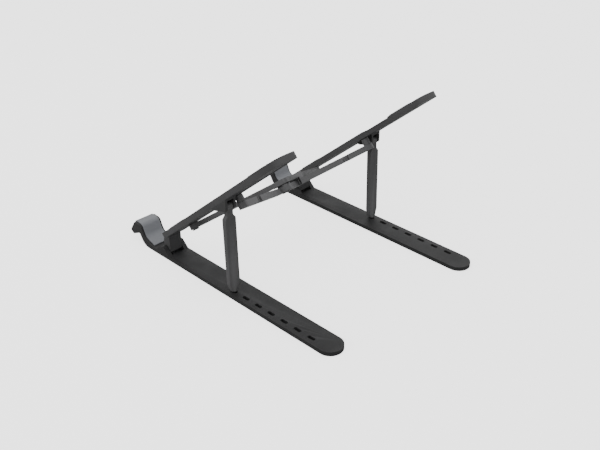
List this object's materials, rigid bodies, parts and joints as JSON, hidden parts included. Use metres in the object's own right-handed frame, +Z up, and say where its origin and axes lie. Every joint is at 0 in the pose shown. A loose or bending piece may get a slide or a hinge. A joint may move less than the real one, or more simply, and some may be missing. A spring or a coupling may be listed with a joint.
{
  "type": "folding laptop stand",
  "caption": "Folding laptop stand: two hooked base rails, two hinged support arms on fold-away props, and crossed bars that let the two sides close together.",
  "frame": {"origin": "centre of the bottom of the whole stand, on the table", "axes": "+X to the stand's right as the user sits, +Y away from the user, +Z up"},
  "size_m": [0.1858, 0.2531, 0.149],
  "materials": {
    "rail": "dark grey fine-textured glass-filled plastic, slightly worn edges",
    "arm": "dark grey fine-textured glass-filled plastic",
    "bracket": "dark grey moulded plastic",
    "prop": "dark grey moulded plastic",
    "bar": "mid grey moulded plastic, satin",
    "silicone": "grey matte silicone",
    "arm_pad": "dark grey matte silicone",
    "foot_rubber": "black rubber",
    "steel": "blackened steel pins and rivets"
  },
  "bodies": {
    "base_right": {"base_rail_right": "rail", "hook_pad_right": "silicone", "front_foot_right": "foot_rubber", "rear_foot_right": "foot_rubber", "hinge_pin_right": "steel"},
    "arm_right": {"support_arm_right": "arm", "track_plate_right": "arm", "front_pad_right": "arm_pad", "rear_pad_right": "arm_pad", "prop_bracket_right": "bracket", "bracket_screws_right": "steel", "prop_pin_right": "steel"},
    "prop_right": {"prop_leg_right": "prop"},
    "slider_right": {"front_slider_right": "steel", "slider_cap_right": "steel"},
    "base_left": {"base_rail_left": "rail", "hook_pad_left": "silicone", "front_foot_left": "foot_rubber", "rear_foot_left": "foot_rubber", "hinge_pin_left": "steel"},
    "arm_left": {"support_arm_left": "arm", "track_plate_left": "arm", "front_pad_left": "arm_pad", "rear_pad_left": "arm_pad", "prop_bracket_left": "bracket", "bracket_screws_left": "steel", "prop_pin_left": "steel"},
    "prop_left": {"prop_leg_left": "prop"},
    "slider_left": {"front_slider_left": "steel", "slider_cap_left": "steel"},
    "bar_a": {"cross_bar_a": "bar", "rear_post_a": "steel", "post_sleeve_a": "bar", "stop_rivet_a": "bar"},
    "bar_b": {"cross_bar_b": "bar", "rear_post_b": "steel", "post_sleeve_b": "bar", "stop_rivet_b": "bar", "centre_rivet": "steel", "centre_washer": "steel"}
  },
  "joints": [
    {"name": "tilt", "type": "hinge", "parent": "base_right", "child": "arm_right", "pos_m": [0.0819, -0.0791, 0.0072], "axis": [1, 0, 0], "range_deg": [0, 30]},
    {"name": "slider_right_run", "type": "slide", "parent": "arm_right", "child": "slider_right", "axis": [0, -0.77, -0.6381], "range_m": [0, 0.0191]},
    {"name": "spread", "type": "hinge", "parent": "slider_right", "child": "bar_a", "pos_m": [0.0757, -0.04899, 0.03215], "axis": [0, 0.6381, -0.77], "range_deg": [0, 58.2]},
    {"name": "cross_pivot", "type": "hinge", "parent": "bar_a", "child": "bar_b", "pos_m": [0, -0.01796, 0.05786], "axis": [0, 0.6381, -0.77], "range_deg": [-117.22, 0]},
    {"name": "slider_left_pivot", "type": "hinge", "parent": "bar_b", "child": "slider_left", "pos_m": [-0.0757, -0.04899, 0.03215], "axis": [0, 0.6381, -0.77], "range_deg": [0, 58.61]},
    {"name": "slider_left_run", "type": "slide", "parent": "slider_left", "child": "arm_left", "axis": [0, 0.77, 0.6381], "range_m": [0, 0.0191]},
    {"name": "tilt_left", "type": "hinge", "parent": "arm_left", "child": "base_left", "pos_m": [-0.0819, -0.0791, 0.0072], "axis": [1, 0, 0], "range_deg": [-30.05, 0]},
    {"name": "prop_right_fold", "type": "hinge", "parent": "arm_right", "child": "prop_right", "pos_m": [0.0871, 0.0089, 0.08422], "axis": [1, 0, 0], "range_deg": [0, 128]},
    {"name": "prop_left_fold", "type": "hinge", "parent": "arm_left", "child": "prop_left", "pos_m": [-0.0871, 0.0089, 0.08422], "axis": [1, 0, 0], "range_deg": [0, 128]}
  ],
  "couplings": [
    {"joint": "slider_right_run", "follows": "spread", "m_per_rad": 0.018589},
    {"joint": "cross_pivot", "follows": "spread", "ratio": -2},
    {"joint": "slider_left_pivot", "follows": "spread", "ratio": 1},
    {"joint": "slider_left_run", "follows": "spread", "m_per_rad": 0.018589},
    {"joint": "tilt_left", "follows": "tilt", "ratio": -1}
  ]
}
